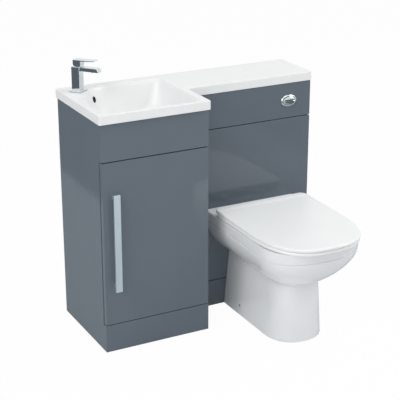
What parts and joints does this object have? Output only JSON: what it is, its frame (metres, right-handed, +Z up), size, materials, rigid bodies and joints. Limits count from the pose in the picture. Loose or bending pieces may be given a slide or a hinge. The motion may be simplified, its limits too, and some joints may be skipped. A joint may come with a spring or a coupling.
{
  "type": "toilet and basin combination unit",
  "caption": "L-shaped bathroom unit: a vanity cupboard with a moulded corner-tap basin top, joined to a slim cabinet with a concealed cistern and a back-to-wall toilet pan with seat and lid.",
  "frame": {"origin": "on the floor under the middle of the unit's footprint box", "axes": "+X to the right along the wall, +Y towards the wall behind the unit, +Z up"},
  "size_m": [0.9, 0.761, 0.95],
  "materials": {
    "lacquer_grey": "high gloss grey lacquer on board",
    "carcass_white": "white melamine on board",
    "cast_marble": "white gloss gelcoat on cast marble resin",
    "vitreous_china": "white glaze",
    "seat_plastic": "white gloss thermoset",
    "chrome": "polished chrome plate",
    "satin_aluminium": "satin anodised",
    "zinc_steel": "zinc plated",
    "brass": "plain brass",
    "white_plastic": "moulded white plastic",
    "blue_plastic": "moulded blue plastic",
    "rubber": "moulded rubber",
    "soft_pad": "translucent soft pad"
  },
  "bodies": {
    "unit": {"vanity_left_side": "lacquer_grey", "vanity_right_side": "lacquer_grey", "vanity_fascia": "lacquer_grey", "vanity_plinth": "lacquer_grey", "wc_left_side": "lacquer_grey", "wc_right_side": "lacquer_grey", "wc_upper_panel": "lacquer_grey", "wc_lower_panel": "lacquer_grey", "wc_plinth": "lacquer_grey", "vanity_base": "carcass_white", "cabinet_rails": "carcass_white", "vanity_back_panel": "carcass_white", "vanity_shelf": "carcass_white", "worktop_basin": "cast_marble", "pan": "vitreous_china", "tap_body": "chrome", "tap_aerator": "chrome", "waste_body": "chrome", "flush_button_housing": "chrome", "seat_hinge_posts": "chrome", "pan_fixing_screws": "chrome", "shelf_pins": "zinc_steel", "hinge_arms": "zinc_steel", "wall_brackets": "zinc_steel", "tap_fixing_stud": "brass", "tap_fixing_clamp": "brass", "waste_nut": "brass", "trap_nuts": "white_plastic", "trap_body": "white_plastic", "trap_cup": "white_plastic", "trap_outlet_pipe": "white_plastic", "flush_button_nut": "white_plastic", "cistern_tank": "white_plastic", "cistern_lid": "white_plastic", "flush_valve_body": "white_plastic", "fill_valve_body": "white_plastic", "air_tubes": "white_plastic", "flush_pipe": "white_plastic", "pan_connector": "white_plastic", "pan_floor_brackets": "white_plastic", "tap_cartridge": "white_plastic", "tap_base_seal": "rubber", "waste_seal": "rubber", "flush_cone": "rubber"},
    "door": {"vanity_door": "lacquer_grey", "door_handle": "satin_aluminium", "handle_screws": "zinc_steel", "hinge_cups": "zinc_steel", "door_bumpers": "soft_pad"},
    "tap_collar": {"tap_stem": "white_plastic"},
    "tap_handle": {"tap_lever": "chrome"},
    "plug": {"waste_plug": "chrome"},
    "full_key": {"flush_button_full": "chrome"},
    "half_key": {"flush_button_half": "chrome"},
    "valve_riser": {"flush_valve_riser": "blue_plastic"},
    "float": {"fill_valve_float": "blue_plastic"},
    "seat": {"toilet_seat": "seat_plastic", "seat_buffers": "soft_pad"},
    "lid": {"toilet_lid": "seat_plastic", "lid_buffers": "soft_pad"}
  },
  "joints": [
    {"name": "door_swing", "type": "hinge", "parent": "unit", "child": "door", "pos_m": [-0.0635, 0.018, 0.388], "axis": [0, 0, 1], "range_deg": [0, 95]},
    {"name": "tap_swing", "type": "hinge", "parent": "unit", "child": "tap_collar", "pos_m": [-0.393, 0.3155, 0.917], "axis": [0, 0, 1], "range_deg": [-45, 45]},
    {"name": "tap_lift", "type": "hinge", "parent": "tap_collar", "child": "tap_handle", "pos_m": [-0.393, 0.3155, 0.917], "axis": [-0.788, -0.6157, 0], "range_deg": [0, 25]},
    {"name": "plug_press", "type": "slide", "parent": "unit", "child": "plug", "axis": [0, 0, -1], "range_m": [0, 0.006]},
    {"name": "valve_lift", "type": "slide", "parent": "unit", "child": "valve_riser", "axis": [0, 0, 1], "range_m": [0, 0.024]},
    {"name": "full_flush_press", "type": "slide", "parent": "unit", "child": "full_key", "axis": [0, 1, 0], "range_m": [0, 0.004]},
    {"name": "half_flush_press", "type": "slide", "parent": "unit", "child": "half_key", "axis": [0, 1, 0], "range_m": [0, 0.004], "stiffness_N_per_m": 150},
    {"name": "float_rise", "type": "slide", "parent": "unit", "child": "float", "axis": [0, 0, 1], "range_m": [0, 0.12]},
    {"name": "lid_lift", "type": "hinge", "parent": "unit", "child": "lid", "pos_m": [0.2, 0.1225, 0.395], "axis": [-1, 0, 0], "range_deg": [0, 93]},
    {"name": "seat_lift", "type": "hinge", "parent": "unit", "child": "seat", "pos_m": [0.2, 0.1225, 0.395], "axis": [-1, 0, 0], "range_deg": [0, 93]}
  ],
  "couplings": [
    {"joint": "full_flush_press", "follows": "valve_lift", "ratio": 0.16667},
    {"joint": "seat_lift", "follows": "lid_lift", "ratio": 1}
  ]
}
